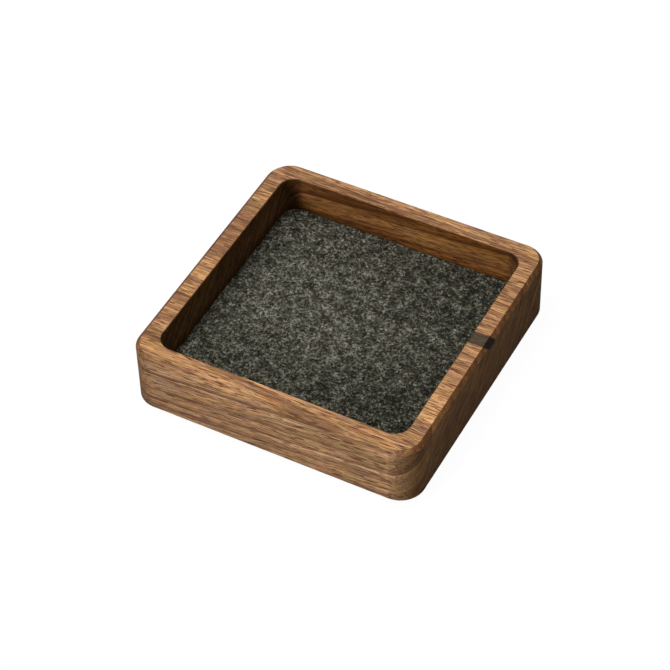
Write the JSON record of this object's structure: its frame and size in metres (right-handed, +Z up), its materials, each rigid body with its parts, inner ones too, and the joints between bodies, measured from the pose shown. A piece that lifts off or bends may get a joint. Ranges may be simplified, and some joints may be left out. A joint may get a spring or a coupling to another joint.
{
  "type": "desk tray",
  "caption": "Small square open desk tray milled from one walnut board, with rounded corners, a bevelled rim and a dark grey wool felt liner, standing on small round feet.",
  "frame": {"origin": "centre of the plane that the four feet stand on", "axes": "+Z up through the open top, X left to right along the grain, -Y towards the front"},
  "size_m": [0.09, 0.09, 0.0221],
  "materials": {
    "walnut": "oiled, satin",
    "wool_felt": "pressed wool felt, charcoal melange",
    "adhesive_film": "double-sided adhesive film",
    "foot_rubber": "moulded, matte"
  },
  "bodies": {
    "root": {"tray_body": "walnut", "felt_liner": "wool_felt", "liner_adhesive": "adhesive_film", "foot_front_left": "foot_rubber", "foot_front_right": "foot_rubber", "foot_back_left": "foot_rubber", "foot_back_right": "foot_rubber"}
  },
  "joints": []
}
